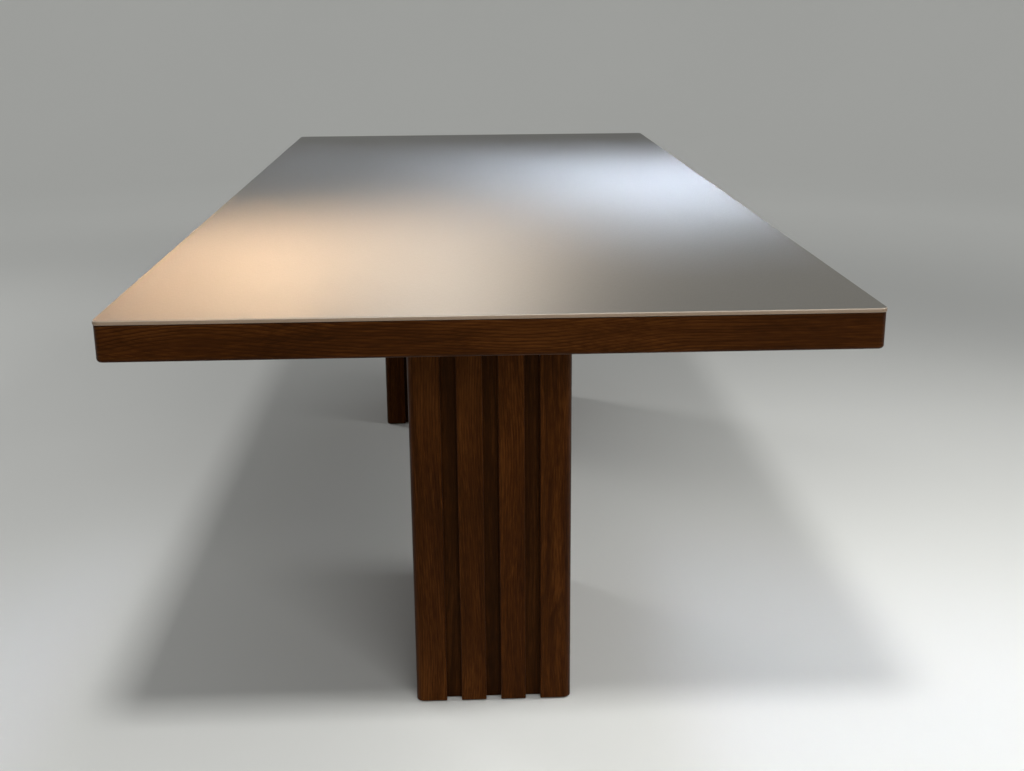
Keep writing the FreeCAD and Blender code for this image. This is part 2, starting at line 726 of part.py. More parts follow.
def make_table():
    bolt_bores = [make_head(pillar) for pillar in PILLARS]
    for pillar in PILLARS:
        make_pillar(pillar)

    keep(perimeter_screws("deck_rows", RAIL_TOP, "deck_screw_length", False, recess=True), "deck_screws")
    keep(perimeter_screws("soffit_rows", RAIL_BASE, "soffit_screw_length", True, recess=True), "soffit_screws")
    keep(stiffener_screws("stiffener_rows", recess=True), "stiffener_screws")
    deck_bores = perimeter_screws("deck_bores", RAIL_TOP, "deck_screw_length", False)
    soffit_bores = perimeter_screws("soffit_bores", RAIL_BASE, "soffit_screw_length", True)
    stiffener_bores = stiffener_screws("stiffener_bores")

    make_top_panel()
    make_panel_beads()
    make_rails(make_splines(), [deck_bores, soffit_bores])
    make_slab_boards([deck_bores], [soffit_bores, stiffener_bores, *bolt_bores])
    make_ribs()
    make_stiffeners(stiffener_bores)


def check_and_export():
    document.recompute()
    for item in document.Objects:
        if "Invalid" in item.State or "Error" in item.State:
            raise RuntimeError(f"{item.Label} failed: {item.State}")
    os.makedirs("parts", exist_ok=True)
    for item in parts:
        if item.Shape.isNull() or not item.Shape.isValid() or not item.Shape.Solids:
            raise RuntimeError(f"{item.Label} has no valid solid")
        item.Shape.exportStep(f"parts/{item.Label}.step")
        print(f"{item.Label}: {len(item.Shape.Solids)} solids, {item.Shape.Volume / 1000:.1f} cm3")
    print(f"{len(parts)} pieces")


make_table()
check_and_export()
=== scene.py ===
import math

import bmesh
import bpy
from mathutils import Matrix, Vector


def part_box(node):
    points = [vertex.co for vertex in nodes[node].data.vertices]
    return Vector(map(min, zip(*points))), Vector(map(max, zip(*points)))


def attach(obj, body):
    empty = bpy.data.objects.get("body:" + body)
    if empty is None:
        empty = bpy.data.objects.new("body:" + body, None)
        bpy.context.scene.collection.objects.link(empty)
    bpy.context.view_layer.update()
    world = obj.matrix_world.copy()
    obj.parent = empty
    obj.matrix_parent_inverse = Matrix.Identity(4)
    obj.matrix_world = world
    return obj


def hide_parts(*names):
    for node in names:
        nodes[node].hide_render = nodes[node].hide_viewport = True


# Dining table seen from its near end: satin stone panel, walnut slab and two fluted walnut pillars.
# Everything is in metres, with the floor at zero height and the table's length along Y.

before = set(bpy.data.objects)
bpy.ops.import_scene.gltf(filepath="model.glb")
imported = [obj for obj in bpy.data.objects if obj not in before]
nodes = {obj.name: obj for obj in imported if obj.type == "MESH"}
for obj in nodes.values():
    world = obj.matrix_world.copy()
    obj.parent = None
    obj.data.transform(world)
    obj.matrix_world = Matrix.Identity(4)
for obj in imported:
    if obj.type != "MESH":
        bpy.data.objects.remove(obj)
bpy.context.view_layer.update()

# Camera, fitted to the corners of the table top and of the near pillar
CAMERA_PLACE = Vector((-0.0441, -2.8449, 1.1429))
CAMERA_YAW = 0.04035
CAMERA_DROP = 0.28937
CAMERA_ROLL = -0.00744
PICTURE_WIDTH = 1024
FOCAL_PIXELS = 1287.8
SENSOR_WIDTH = 36.0
CLIP_END = 60.0

# Finishes, as linear colours
WHITE = (1.0, 1.0, 1.0)
STONE = (0.062, 0.057, 0.048)
# Painted sheen on the stone's cut edge, and a painted highlight along its upper arris
STONE_EDGE_SHEEN = (0.200, 0.142, 0.094)
STONE_ARRIS_HIGHLIGHT = (0.27, 0.225, 0.175)
WALNUT_DARK = (0.0115, 0.0026, 0.0004)
WALNUT_MID = (0.0410, 0.0108, 0.0013)
WALNUT_LIGHT = (0.0960, 0.0300, 0.0056)
# Paler walnut for the edges, partly wear and partly a painted sheen
WALNUT_WEAR_AND_SHEEN = (0.1150, 0.0600, 0.0340)
WALNUT_GLOSS_TINT = (1.0, 0.45, 0.18)
WALNUT_GLOSS_LEVEL = 0.16
CORE_DARK = (0.36, 0.22, 0.11)
CORE_MID = (0.50, 0.34, 0.18)
CORE_LIGHT = (0.60, 0.43, 0.25)
FLOOR = (0.60, 0.605, 0.58)

# Relief of a finish, as a strength and a depth
WOOD_RELIEF = (0.35, 0.00015)
STONE_RELIEF = (0.10, 0.0001)
SKIN_RELIEF_DEPTH = 0.00008

# Worn edges, by their radius and by the size of the breaks in them. On wood the pale edge is partly wear
# and partly a painted sheen.
WOOD_WEAR_AND_SHEEN_RADIUS = 0.003
SKIN_WEAR_RADIUS = 0.0006
SKIN_WEAR_BREAK = 160.0

# How dark a finish is against the plain walnut. The recess value is painted shade between the slats, and
# the rail value is painted shade that keeps the rails no brighter than the slats under the lamps.
RECESS_PAINTED_SHADE = 0.50
RAIL_PAINTED_SHADE = 0.72
SOFFIT_SHADE = 0.9

# Boards of one node stand in cells. Each entry is the middle of one cell and the pitch of the cells.
NEAR_Y = -0.6325
FAR_Y = 0.759
MID_HEIGHT = 0.345
SLAB_HEIGHT = 0.718
SLAT_CELLS = {
    "near": ((-0.0335, NEAR_Y - 0.03243, MID_HEIGHT), (0.067, 0.06486, 10.0)),
    "far": ((-0.03243, FAR_Y - 0.0335, MID_HEIGHT), (0.06486, 0.067, 10.0)),
}
POST_CELLS = {
    "near": ((-0.105, NEAR_Y - 0.232, MID_HEIGHT), (0.21, 0.464, 10.0)),
    "far": ((-0.232, FAR_Y - 0.105, MID_HEIGHT), (0.464, 0.21, 10.0)),
}
WALL_CELLS = {
    "near": ((0.0, NEAR_Y, MID_HEIGHT), (0.19, 0.442, 10.0)),
    "far": ((0.0, FAR_Y, MID_HEIGHT), (0.442, 0.19, 10.0)),
}
ACROSS_RAIL_CELLS = ((0.0, -1.155, SLAB_HEIGHT), (10.0, 2.31, 10.0))
ALONG_RAIL_CELLS = ((-0.48, 0.0, SLAB_HEIGHT), (0.96, 10.0, 10.0))
VENEER_CELLS = ((0.0, 0.0, 0.697), (0.22, 10.0, 10.0))
INNER_CELLS = ((0.0, 0.0, 0.36), (0.33, 0.33, 0.72))
# Sets the figure of one pillar's boards apart from the other's
CELL_MARK = (3.7, 9.1, 0.0)

# Turns that bring a board's length onto X for the grain
GRAIN_TURNS = {
    "X": (0.0, 0.0, 0.0),
    "Y": (0.0, 0.0, -math.pi / 2),
    "Z": (0.0, math.pi / 2, 0.0),
}

# Noise of the wood, as counts per metre along the board and across it
SLOW_WAVES = (2.2, 7.0, 7.0)
QUICK_WAVES = (9.0, 60.0, 60.0)
RING_FADES = (5.0, 30.0, 30.0)
STREAKS = (3.0, 95.0, 95.0)
THREADS = (34.0, 560.0, 560.0)
CLOUDS = (2.5, 14.0, 14.0)
FIBRES = (60.0, 2600.0, 2600.0)
PORES = (190.0, 2100.0, 2100.0)
# The share of a ring's width over which it darkens, before it turns back to early wood
RING_RISE = 0.84
# How far the heart of the tree lies from the middle of a board
HEART_NEAREST = 0.05
HEART_FARTHEST = 0.14
# How far the noise moves a board lengthwise from one to the next
BOARD_SHIFT = 7.0

# Broad plain-sawn figure of the slab's rails and veneer
BOLD_FIGURE = {
    "Ring Width": 0.0044,
    "Wave": 0.070,
    "Ring Depth": 0.95,
    "Ring Edge": 2.4,
    "Heart Turn": math.pi / 2,
    "Heart Spread": 0.9,
    "Thread Share": 0.34,
}

# Noise of the stone, as counts per metre
WARP = (110.0, 1300.0, 200.0)
WEFT = (1300.0, 110.0, 200.0)
SPECKS = (900.0, 900.0, 900.0)
STONE_DRIFT = (2.2, 2.2, 2.2)

# Noise of painted, plated and moulded skins, as counts per metre
SCUFFS = (420.0, 60.0, 60.0)
SKIN_DRIFT = (14.0, 14.0, 14.0)

# Stone panel
PANEL_CORNER_RADIUS = 0.011
PANEL_CORNER_STEPS = 12
PANEL_TOP_ROUND = 0.002
PANEL_TOP_STEPS = 6
PANEL_BOTTOM_ROUND = 0.0008
PANEL_BOTTOM_STEPS = 3
SAME_HEIGHT = 0.0001
MERGE_DISTANCE = 0.00001

# Round studio: a flat floor, a curved sweep and an upright wall
FLOOR_RADIUS = 6.0
SWEEP_RADIUS = 2.5
SWEEP_STEPS = 8
WALL_TOP = 4.5
STUDIO_STEPS = 64
STUDIO_MERGE = 0.0001
FLOOR_ROUGHNESS = 0.75
FLOOR_DRIFT = (0.7, 0.7, 0.7)
WALL_GLOW = 0.34
GLOW_START = 1.4
GLOW_END = 5.0
AIR_COLOUR = (0.86, 0.88, 0.90)
AIR_STRENGTH = 0.18

# Each lamp has a place, a target, a width and height, a power, a colour and a spread in degrees.
# The cards are narrow beams from behind, which the satin top throws back at the camera.
WIDE = 180.0
LAMPS = {
    "overhead_box": ((0.3, 0.2, 3.6), (0.0, 0.0, 0.0), (4.5, 4.5), 19.0, WHITE, WIDE),
    "key_box": ((-0.12, -2.2, 3.0), (0.0, -1.0, 0.4), (0.35, 0.35), 62.0, WHITE, WIDE),
    "front_box": ((1.2, -4.4, 2.4), (0.0, -0.9, 0.4), (2.4, 1.1), 58.0, WHITE, WIDE),
    "side_box": ((3.0, -0.9, 2.9), (0.8, -0.7, 0.0), (1.3, 1.3), 18.0, WHITE, 80.0),
    "back_box": ((-4.0, 3.4, 2.2), (0.0, 0.2, 0.4), (1.5, 1.5), 13.0, WHITE, 70.0),
    "rim_card": ((-1.80, 3.5, 2.55), (-0.72, -0.84, 0.75), (0.72, 0.16), 0.0475, (1.0, 0.55, 0.27), 10.2),
    "warm_card": ((-1.21, 3.5, 2.62), (-0.53, -0.76, 0.75), (1.44, 0.20), 0.22, (1.0, 0.647, 0.386), 7.6),
    "sand_card": ((-0.06, 3.5, 2.62), (0.01, -0.63, 0.75), (2.45, 0.16), 0.50, (1.0, 0.835, 0.683), 12.0),
    "cool_card": ((0.98, 3.5, 2.62), (0.44, 0.23, 0.75), (2.56, 0.25), 2.02, (0.751, 0.838, 1.0), 12.5),
}


def add(tree, kind, inputs=None, **settings):
    """Add a node, with its settings and with values or other sockets on its inputs."""
    made = tree.nodes.new(kind)
    for name, value in settings.items():
        setattr(made, name, value)
    for name, value in (inputs or {}).items():
        if isinstance(value, bpy.types.NodeSocket):
            tree.links.new(value, made.inputs[name])
        else:
            made.inputs[name].default_value = value
    return made


def maths(tree, operation, first, second=0.0):
    """Work on one or two numbers, which may be sockets."""
    return add(tree, "ShaderNodeMath", {0: first, 1: second}, operation=operation).outputs[0]


def vectors(tree, operation, first, second=(0.0, 0.0, 0.0)):
    """Work on one or two vectors, which may be sockets."""
    made = add(tree, "ShaderNodeVectorMath", {0: first, 1: second}, operation=operation)
    return made.outputs["Value" if operation in ("LENGTH", "DOT_PRODUCT") else "Vector"]


def combine(tree, x=0.0, y=0.0, z=0.0):
    """Make a vector from three numbers."""
    return add(tree, "ShaderNodeCombineXYZ", {0: x, 1: y, 2: z}).outputs[0]


def spread(tree, value, low, high, out_low, out_high, smooth=False):
    """Carry a value from one range to another, held at both ends."""
    made = add(
        tree,
        "ShaderNodeMapRange",
        {"Value": value, "From Min": low, "From Max": high, "To Min": out_low, "To Max": out_high},
        interpolation_type="SMOOTHSTEP" if smooth else "LINEAR",
    )
    return made.outputs["Result"]


def noise(tree, place, stretch, detail=2.0, rough=0.5):
    """Noise whose grains have a size of their own along each axis, given as counts per metre."""
    stretched = vectors(tree, "MULTIPLY", place, stretch)
    settings = {"Vector": stretched, "Scale": 1.0, "Detail": detail, "Roughness": rough}
    return add(tree, "ShaderNodeTexNoise", settings).outputs["Fac"]


def blend_colours(tree, share, first, second, kind="MIX"):
    """Blend two colours by a share."""
    made = add(tree, "ShaderNodeMix", data_type="RGBA", blend_type=kind)
    for socket, value in ((made.inputs[0], share), (made.inputs[6], first), (made.inputs[7], second)):
        if isinstance(value, bpy.types.NodeSocket):
            tree.links.new(value, socket)
        else:
            socket.default_value = value
    return made.outputs[2]


def lighten(tree, colour, level):
    """Multiply a colour by a level, which may be above or below one."""
    grey = add(tree, "ShaderNodeCombineColor", {0: level, 1: level, 2: level}).outputs[0]
    return blend_colours(tree, 1.0, colour, grey, "MULTIPLY")


def opaque(colour, shade=1.0):
    """A colour made darker by a shade, with full alpha."""
    return (*(channel * shade for channel in colour), 1.0)


def shader_group(name, inputs, outputs):
    """Start a node group with named sockets, and give back its tree, its input and its output."""
    tree = bpy.data.node_groups.new(name, "ShaderNodeTree")
    for title, kind, value in inputs:
        socket = tree.interface.new_socket(title, in_out="INPUT", socket_type=f"NodeSocket{kind}")
        socket.default_value = value
    for title, kind in outputs:
        tree.interface.new_socket(title, in_out="OUTPUT", socket_type=f"NodeSocket{kind}")
    return tree, tree.nodes.new("NodeGroupInput").outputs, tree.nodes.new("NodeGroupOutput").inputs


def make_board_group():
    """Give each board of a node a place of its own, and a shift and tone by the cell that it falls in."""
    tree, given, result = shader_group(
        "board_cells",
        [("Vector", "Vector", (0, 0, 0)), ("Middle", "Vector", (0, 0, 0)), ("Pitch", "Vector", (1, 1, 1))],
        [("Place", "Vector"), ("Shift", "Vector"), ("Tone", "Float")],
    )
    half = (0.5, 0.5, 0.5)
    from_middle = vectors(tree, "SUBTRACT", given["Vector"], given["Middle"])
    counted = vectors(tree, "ADD", vectors(tree, "DIVIDE", from_middle, given["Pitch"]), half)
    cell = vectors(tree, "FLOOR", counted)
    inside = vectors(tree, "SUBTRACT", vectors(tree, "SUBTRACT", counted, cell), half)
    marked = vectors(tree, "ADD", cell, vectors(tree, "MULTIPLY", given["Middle"], CELL_MARK))
    random = add(tree, "ShaderNodeTexWhiteNoise", {"Vector": marked}, noise_dimensions="3D")
    tree.links.new(vectors(tree, "MULTIPLY", inside, given["Pitch"]), result["Place"])
    tree.links.new(random.outputs["Color"], result["Shift"])
    tree.links.new(random.outputs["Value"], result["Tone"])
    return tree


def make_walnut_group():
    """Growth rings, long streaks, fibres and pores of a board whose length lies along X."""
    tree, given, result = shader_group(
        "wood_grain",
        [
            ("Vector", "Vector", (0, 0, 0)),
            ("Shift", "Vector", (0.5, 0.5, 0.5)),
            ("Tone", "Float", 0.5),
            ("Dark", "Color", opaque(WALNUT_DARK)),
            ("Mid", "Color", opaque(WALNUT_MID)),
            ("Light", "Color", opaque(WALNUT_LIGHT)),
            ("Ring Width", "Float", 0.0043),
            ("Wave", "Float", 0.034),
            ("Ring Depth", "Float", 0.62),
            ("Ring Edge", "Float", 2.6),
            ("Heart Turn", "Float", 0.0),
            ("Heart Spread", "Float", 2 * math.pi),
            ("Thread Share", "Float", 0.46),
            ("Pore Depth", "Float", 0.6),
        ],
        [("Colour", "Color"), ("Roughness", "Float"), ("Height", "Float")],
    )
    shift = add(tree, "ShaderNodeSeparateXYZ", {0: given["Shift"]}).outputs
    along = maths(tree, "MULTIPLY", shift["X"], BOARD_SHIFT)
    place = vectors(tree, "ADD", given["Vector"], combine(tree, x=along))

    # The heart of the tree lies beside the board, in a direction and at a distance of its own
    turn = maths(tree, "MULTIPLY", maths(tree, "SUBTRACT", shift["Y"], 0.5), given["Heart Spread"])
    angle = maths(tree, "ADD", given["Heart Turn"], turn)
    reach = spread(tree, shift["Z"], 0.0, 1.0, HEART_NEAREST, HEART_FARTHEST)
    heart_y = maths(tree, "MULTIPLY", maths(tree, "COSINE", angle), reach)
    heart_z = maths(tree, "MULTIPLY", maths(tree, "SINE", angle), reach)
    from_heart = vectors(tree, "SUBTRACT", given["Vector"], combine(tree, y=heart_y, z=heart_z))
    radius = vectors(tree, "LENGTH", vectors(tree, "MULTIPLY", from_heart, (0.0, 1.0, 1.0)))

    # Two waves bend the rings, and each ring darkens slowly and turns back at once
    slow = maths(tree, "SUBTRACT", noise(tree, place, SLOW_WAVES, detail=1.0), 0.5)
    quick = maths(tree, "SUBTRACT", noise(tree, place, QUICK_WAVES), 0.5)
    slow_wave = maths(tree, "MULTIPLY", slow, given["Wave"])
    quick_wave = maths(tree, "MULTIPLY", quick, maths(tree, "MULTIPLY", given["Wave"], 0.12))
    waved = maths(tree, "ADD", radius, maths(tree, "ADD", slow_wave, quick_wave))
    phase = maths(tree, "FRACT", maths(tree, "DIVIDE", waved, given["Ring Width"]))
    late = maths(tree, "POWER", spread(tree, phase, 0.0, RING_RISE, 0.0, 1.0), given["Ring Edge"])
    ring = maths(tree, "MULTIPLY", late, spread(tree, phase, RING_RISE, 1.0, 1.0, 0.0, smooth=True))
    faded = noise(tree, place, RING_FADES, detail=1.0)
    ring = maths(tree, "MULTIPLY", ring, spread(tree, faded, 0.35, 0.60, 0.50, 1.0))

    waved_place = vectors(tree, "ADD", place, combine(tree, y=slow_wave, z=slow_wave))
    streak = noise(tree, waved_place, STREAKS, detail=3.0, rough=0.62)
    thread = noise(tree, waved_place, THREADS, detail=3.0, rough=0.6)
    cloud = noise(tree, place, CLOUDS, detail=1.0)
    fibre = noise(tree, place, FIBRES, detail=1.0)
    pore_place = vectors(tree, "MULTIPLY", place, PORES)
    pore_cells = add(tree, "ShaderNodeTexVoronoi", {"Vector": pore_place, "Scale": 1.0, "Randomness": 1.0})
    pore = spread(tree, pore_cells.outputs["Distance"], 0.10, 0.32, 1.0, 0.0, smooth=True)
    pore = maths(tree, "MULTIPLY", pore, spread(tree, streak, 0.35, 0.65, 1.0, 0.35))

    # Streaks, threads and clouds choose a tone from dark to light, and rings and pores darken it
    fine = maths(tree, "MULTIPLY", maths(tree, "SUBTRACT", thread, 0.5), given["Thread Share"])
    figure = maths(tree, "ADD", maths(tree, "MULTIPLY", streak, 0.36), maths(tree, "ADD", fine, 0.17))
    figure = maths(tree, "ADD", figure, maths(tree, "MULTIPLY", cloud, 0.30))
    shade = spread(tree, figure, 0.36, 0.64, 0.0, 1.0)
    colour = blend_colours(tree, spread(tree, shade, 0.0, 0.5, 0.0, 1.0), given["Dark"], given["Mid"])
    colour = blend_colours(tree, spread(tree, shade, 0.5, 1.0, 0.0, 1.0), colour, given["Light"])
    ring_share = maths(tree, "MULTIPLY", ring, given["Ring Depth"])
    colour = blend_colours(tree, ring_share, colour, given["Dark"])
    pore_share = maths(tree, "MULTIPLY", pore, given["Pore Depth"])
    colour = blend_colours(tree, pore_share, colour, given["Dark"])
    level = spread(tree, given["Tone"], 0.0, 1.0, 0.84, 1.20)
    level = maths(tree, "MULTIPLY", level, spread(tree, fibre, 0.3, 0.7, 0.92, 1.08))
    tree.links.new(lighten(tree, colour, level), result["Colour"])

    rough = spread(tree, fibre, 0.3, 0.7, 0.44, 0.50)
    rough = maths(tree, "ADD", rough, maths(tree, "MULTIPLY", pore, 0.16))
    rough = maths(tree, "ADD", rough, spread(tree, streak, 0.3, 0.7, 0.03, -0.03))
    tree.links.new(rough, result["Roughness"])
    height = maths(tree, "MULTIPLY", fibre, 0.35)
    height = maths(tree, "SUBTRACT", height, maths(tree, "MULTIPLY", pore, 0.8))
    height = maths(tree, "SUBTRACT", height, maths(tree, "MULTIPLY", ring, 0.25))
    tree.links.new(height, result["Height"])
    return tree


def make_wear_and_sheen_group():
    """A mask along the edges of a piece, broken up so that handling looks uneven. On wood it carries wear
    and a painted sheen together.
    """
    tree, given, result = shader_group(
        "edge_wear_and_sheen",
        [("Vector", "Vector", (0, 0, 0)), ("Radius", "Float", 0.002), ("Break", "Float", 40.0)],
        [("Mask", "Float")],
    )
    rounded = add(tree, "ShaderNodeBevel", {"Radius": given["Radius"]}, samples=6)
    plain = add(tree, "ShaderNodeNewGeometry")
    facing = vectors(tree, "DOT_PRODUCT", rounded.outputs["Normal"], plain.outputs["Normal"])
    edge = spread(tree, facing, 0.88, 0.995, 1.0, 0.0, smooth=True)
    broken = add(tree, "ShaderNodeTexNoise", {"Vector": given["Vector"], "Scale": given["Break"]})
    mask = maths(tree, "MULTIPLY", edge, spread(tree, broken.outputs["Fac"], 0.35, 0.65, 0.35, 1.0))
    tree.links.new(mask, result["Mask"])
    return tree


def make_stone_group():
    """A satin ceramic face: a fine woven tooth, small specks and a slow drift of tone."""
    tree, given, result = shader_group(
        "stone_face",
        [("Vector", "Vector", (0, 0, 0)), ("Base", "Color", opaque(STONE))],
        [("Colour", "Color"), ("Roughness", "Float"), ("Height", "Float")],
    )
    place = given["Vector"]
    warp, weft = noise(tree, place, WARP), noise(tree, place, WEFT)
    speck = noise(tree, place, SPECKS, detail=1.0)
    drift = noise(tree, place, STONE_DRIFT, detail=3.0)
    weave = maths(tree, "ADD", maths(tree, "MULTIPLY", warp, 0.5), maths(tree, "MULTIPLY", weft, 0.5))
    level = spread(tree, weave, 0.36, 0.64, 0.94, 1.06)
    level = maths(tree, "ADD", level, spread(tree, speck, 0.3, 0.7, -0.04, 0.04))
    level = maths(tree, "ADD", level, spread(tree, drift, 0.3, 0.7, -0.04, 0.04))
    tree.links.new(lighten(tree, given["Base"], level), result["Colour"])
    tree.links.new(spread(tree, weave, 0.36, 0.64, 0.34, 0.30), result["Roughness"])
    tree.links.new(maths(tree, "ADD", weave, maths(tree, "MULTIPLY", speck, 0.4)), result["Height"])
    return tree


def make_skin_group():
    """The skin of painted or plated metal and of moulded parts: peel, scuffs and a drift of tone."""
    tree, given, result = shader_group(
        "fine_skin",
        [
            ("Vector", "Vector", (0, 0, 0)),
            ("Base", "Color", (0.5, 0.5, 0.5, 1.0)),
            ("Worn", "Color", (0.6, 0.6, 0.6, 1.0)),
            ("Wear", "Float", 0.0),
            ("Grain", "Float", 1500.0),
            ("Rough", "Float", 0.45),
        ],
        [("Colour", "Color"), ("Roughness", "Float"), ("Height", "Float")],
    )
    place = given["Vector"]
    peel = add(tree, "ShaderNodeTexNoise", {"Vector": place, "Scale": given["Grain"], "Detail": 2.0})
    scuff = noise(tree, place, SCUFFS, detail=3.0, rough=0.65)
    drift = noise(tree, place, SKIN_DRIFT)
    level = spread(tree, maths(tree, "ADD", scuff, drift), 0.7, 1.3, 0.90, 1.12)
    colour = lighten(tree, given["Base"], level)
    tree.links.new(blend_colours(tree, given["Wear"], colour, given["Worn"]), result["Colour"])
    rough = maths(tree, "ADD", given["Rough"], spread(tree, scuff, 0.35, 0.7, -0.05, 0.09))
    tree.links.new(rough, result["Roughness"])
    tree.links.new(peel.outputs["Fac"], result["Height"])
    return tree


BOARD_CELLS = make_board_group()
WOOD_GRAIN = make_walnut_group()
EDGE_WEAR_AND_SHEEN = make_wear_and_sheen_group()
STONE_FACE = make_stone_group()
FINE_SKIN = make_skin_group()


def start_material(name):
    """An empty material with its own shader, and the piece's own coordinates."""
    material = bpy.data.materials.new(name)
    material.use_nodes = True
    tree = material.node_tree
    place = add(tree, "ShaderNodeTexCoord").outputs["Object"]
    return material, tree, tree.nodes["Principled BSDF"].inputs, place


def fill_group(tree, group, inputs):
    """Place a shared node group in a material, with that material's own values."""
    return add(tree, "ShaderNodeGroup", inputs, node_tree=group).outputs


def bump(tree, shader, height, strength, distance):
    """Give a shader its relief. The distance is how deep the relief goes."""
    made = add(tree, "ShaderNodeBump", {"Height": height, "Strength": strength, "Distance": distance})
    tree.links.new(made.outputs["Normal"], shader["Normal"])


def wood_material(name, grain_axis, cells, wear_and_sheen=0.5, shade=1.0, **grain):
    """Oiled wood whose grain runs along one axis, with its own figure in every board."""
    material, tree, shader, place = start_material(name)
    middle, pitch = cells
    board = fill_group(tree, BOARD_CELLS, {"Vector": place, "Middle": middle, "Pitch": pitch})
    turned = add(tree, "ShaderNodeMapping", {"Vector": board["Place"], "Rotation": GRAIN_TURNS[grain_axis]})
    settings = {
        "Vector": turned.outputs[0],
        "Shift": board["Shift"],
        "Tone": board["Tone"],
        "Dark": opaque(WALNUT_DARK, shade),
        "Mid": opaque(WALNUT_MID, shade),
        "Light": opaque(WALNUT_LIGHT, shade),
    }
    settings.update(grain)
    wood = fill_group(tree, WOOD_GRAIN, settings)
    colour = wood["Colour"]
    # The edges turn paler and greyer: partly wear, partly a painted sheen on the rounded edges.
    if wear_and_sheen:
        edge = fill_group(tree, EDGE_WEAR_AND_SHEEN, {"Vector": place, "Radius": WOOD_WEAR_AND_SHEEN_RADIUS})
        share = maths(tree, "MULTIPLY", edge["Mask"], wear_and_sheen)
        colour = blend_colours(tree, share, colour, opaque(WALNUT_WEAR_AND_SHEEN, shade))
    tree.links.new(colour, shader["Base Color"])
    tree.links.new(wood["Roughness"], shader["Roughness"])
    shader["Specular IOR Level"].default_value = WALNUT_GLOSS_LEVEL
    shader["Specular Tint"].default_value = opaque(WALNUT_GLOSS_TINT)
    bump(tree, shader, wood["Height"], *WOOD_RELIEF)
    return material


def stone_material():
    """Satin stone with a lighter cut edge as a painted sheen, and a pale line as a painted highlight where
    its upper arris is ground round.
    """
    material, tree, shader, place = start_material("satin_stone")
    normal = add(tree, "ShaderNodeNewGeometry").outputs["Normal"]
    upward = add(tree, "ShaderNodeSeparateXYZ", {0: normal}).outputs["Z"]
    # The upright cut edge takes a lighter colour as a painted sheen, and the rounded arris a paler one as a
    # painted highlight.
    cut = spread(tree, upward, 0.25, 0.60, 1.0, 0.0, smooth=True)
    arris = spread(tree, upward, 0.30, 0.60, 0.0, 1.0, smooth=True)
    arris = maths(tree, "MULTIPLY", arris, spread(tree, upward, 0.86, 0.98, 1.0, 0.0, smooth=True))
    base = blend_colours(tree, cut, opaque(STONE), opaque(STONE_EDGE_SHEEN))
    base = blend_colours(tree, arris, base, opaque(STONE_ARRIS_HIGHLIGHT))
    stone = fill_group(tree, STONE_FACE, {"Vector": place, "Base": base})
    tree.links.new(stone["Colour"], shader["Base Color"])
    tree.links.new(stone["Roughness"], shader["Roughness"])
    bump(tree, shader, stone["Height"], *STONE_RELIEF)
    return material


def skin_material(name, base, worn, rough, metallic=0.0, grain=1500.0, relief=0.2, wear_and_sheen=0.4):
    """Painted, plated, cast or moulded small parts."""
    material, tree, shader, place = start_material(name)
    worn_edge = {"Vector": place, "Radius": SKIN_WEAR_RADIUS, "Break": SKIN_WEAR_BREAK}
    edge = fill_group(tree, EDGE_WEAR_AND_SHEEN, worn_edge)
    settings = {
        "Vector": place,
        "Base": opaque(base),
        "Worn": opaque(worn),
        "Wear": maths(tree, "MULTIPLY", edge["Mask"], wear_and_sheen),
        "Grain": grain,
        "Rough": rough,
    }
    skin = fill_group(tree, FINE_SKIN, settings)
    tree.links.new(skin["Colour"], shader["Base Color"])
    tree.links.new(skin["Roughness"], shader["Roughness"])
    shader["Metallic"].default_value = metallic
    bump(tree, shader, skin["Height"], relief, SKIN_RELIEF_DEPTH)
    return material


def dress(material, *names):
    """Put a finish on nodes of the frame."""
    for name in names:
        for holder in nodes[name].material_slots:
            holder.material = material


def dress_slab():
    """Walnut for the rails and the soffit, and pale wood for what lies inside."""
    # The rails' walnut is darkened as painted shade, so that the rails read no brighter than the slats
    # under the lamps.
    across = wood_material("walnut_across", "X", ACROSS_RAIL_CELLS, shade=RAIL_PAINTED_SHADE, **BOLD_FIGURE)
    along = wood_material("walnut_along", "Y", ALONG_RAIL_CELLS, shade=RAIL_PAINTED_SHADE, **BOLD_FIGURE)
    veneer = wood_material("walnut_soffit", "Y", VENEER_CELLS, wear_and_sheen=0.0, shade=SOFFIT_SHADE, **BOLD_FIGURE)
    dress(across, "edge_rail_near", "edge_rail_far")
    dress(along, "edge_rail_left", "edge_rail_right")
    dress(veneer, "soffit_board")

    pale = {"Dark": opaque(CORE_DARK), "Mid": opaque(CORE_MID), "Light": opaque(CORE_LIGHT)}
    core_along = wood_material("core_along", "Y", INNER_CELLS, wear_and_sheen=0.0, **pale)
    core_across = wood_material("core_across", "X", INNER_CELLS, wear_and_sheen=0.0, **pale)
    dress(core_along, "top_deck", "near_mount_block", "far_mount_block")
    dress(core_along, "near_head_board", "near_foot_board", "near_cleats")
    dress(core_across, "slab_ribs", "mitre_splines", "far_head_board", "far_foot_board", "far_cleats")


def dress_pillars():
    """Walnut for both pillars, with painted shade darkening the recesses between the slats."""
    for pillar in ("near", "far"):
        posts = [name for name in nodes if name.startswith(f"{pillar}_post_")]
        slats = [name for name in nodes if name.startswith(f"{pillar}_slats_")]
        walls = [f"{pillar}_board_{face}" for face in ("front", "back", "left", "right")]
        post_wood = wood_material(f"walnut_posts_{pillar}", "Z", POST_CELLS[pillar], wear_and_sheen=0.1)
        slat_wood = wood_material(f"walnut_slats_{pillar}", "Z", SLAT_CELLS[pillar])
        # The recess walls are darkened as painted shade between the slats.
        shaded_wall_wood = wood_material(
            f"shaded_walnut_walls_{pillar}", "Z", WALL_CELLS[pillar], wear_and_sheen=0.0, shade=RECESS_PAINTED_SHADE
        )
        dress(post_wood, *posts)
        dress(slat_wood, *slats)
        dress(shaded_wall_wood, *walls)


